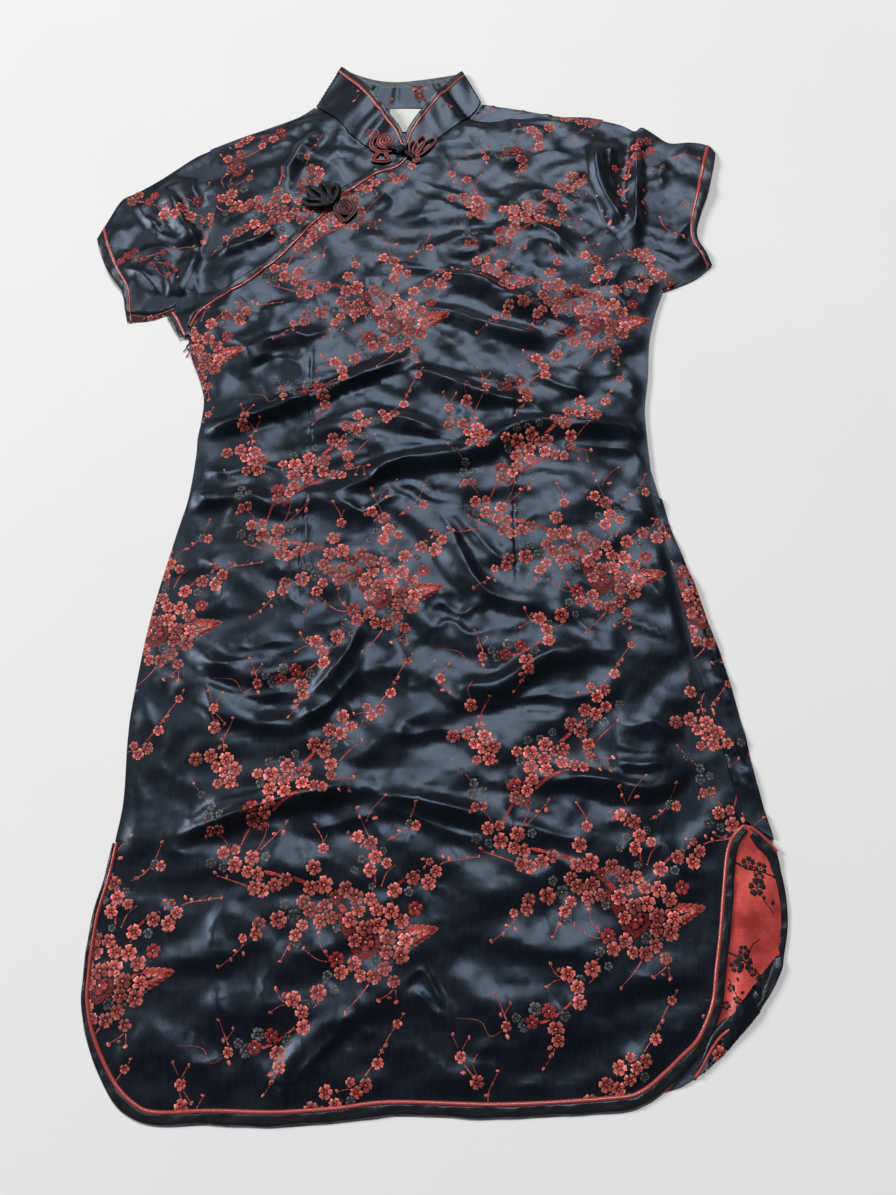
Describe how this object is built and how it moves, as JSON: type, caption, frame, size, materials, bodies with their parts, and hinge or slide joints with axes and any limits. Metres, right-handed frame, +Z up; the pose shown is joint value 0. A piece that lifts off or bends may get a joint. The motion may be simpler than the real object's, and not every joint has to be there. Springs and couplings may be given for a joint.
{
  "type": "cheongsam dress",
  "caption": "Short-sleeved cheongsam laid flat: stand collar, diagonal placket with knotted frogs, bound side slits and rounded hem.",
  "frame": {"origin": "on the back panel's flat underside, near the middle of the waist", "axes": "+X to the viewer's right, +Y towards the collar, +Z up from the surface it lies on, through the front"},
  "size_m": [0.616, 0.9849, 0.0152],
  "materials": {
    "brocade": "dark satin brocade with woven coral plum blossom, red on its reverse",
    "satin_binding": "charcoal satin bias binding",
    "coral_piping": "coral satin piping over a cord",
    "frog_cord": "black satin cord with a coral line",
    "label": "plain white woven label, bare"
  },
  "bodies": {
    "root": {"back_panel": "brocade", "back_slit_binding": "satin_binding", "back_slit_piping": "coral_piping", "bust_frog_button": "frog_cord", "bust_frog_petals": "frog_cord", "bust_frog_swirl": "frog_cord", "collar": "brocade", "collar_binding": "satin_binding", "collar_piping": "coral_piping", "corner_binding": "satin_binding", "corner_piping": "coral_piping", "cuff_binding_left": "satin_binding", "cuff_binding_right": "satin_binding", "cuff_piping_left": "coral_piping", "cuff_piping_right": "coral_piping", "front_panel": "brocade", "hem_binding": "satin_binding", "hem_piping": "coral_piping", "neck_frog_button": "frog_cord", "neck_frog_lobe": "frog_cord", "neck_frog_petals": "frog_cord", "neck_frog_spiral": "frog_cord", "neck_label": "label", "placket_binding": "satin_binding", "placket_piping": "coral_piping", "sleeve_left": "brocade", "sleeve_right": "brocade", "underarm_binding": "satin_binding", "underarm_piping": "coral_piping", "yoke": "brocade"}
  },
  "joints": []
}
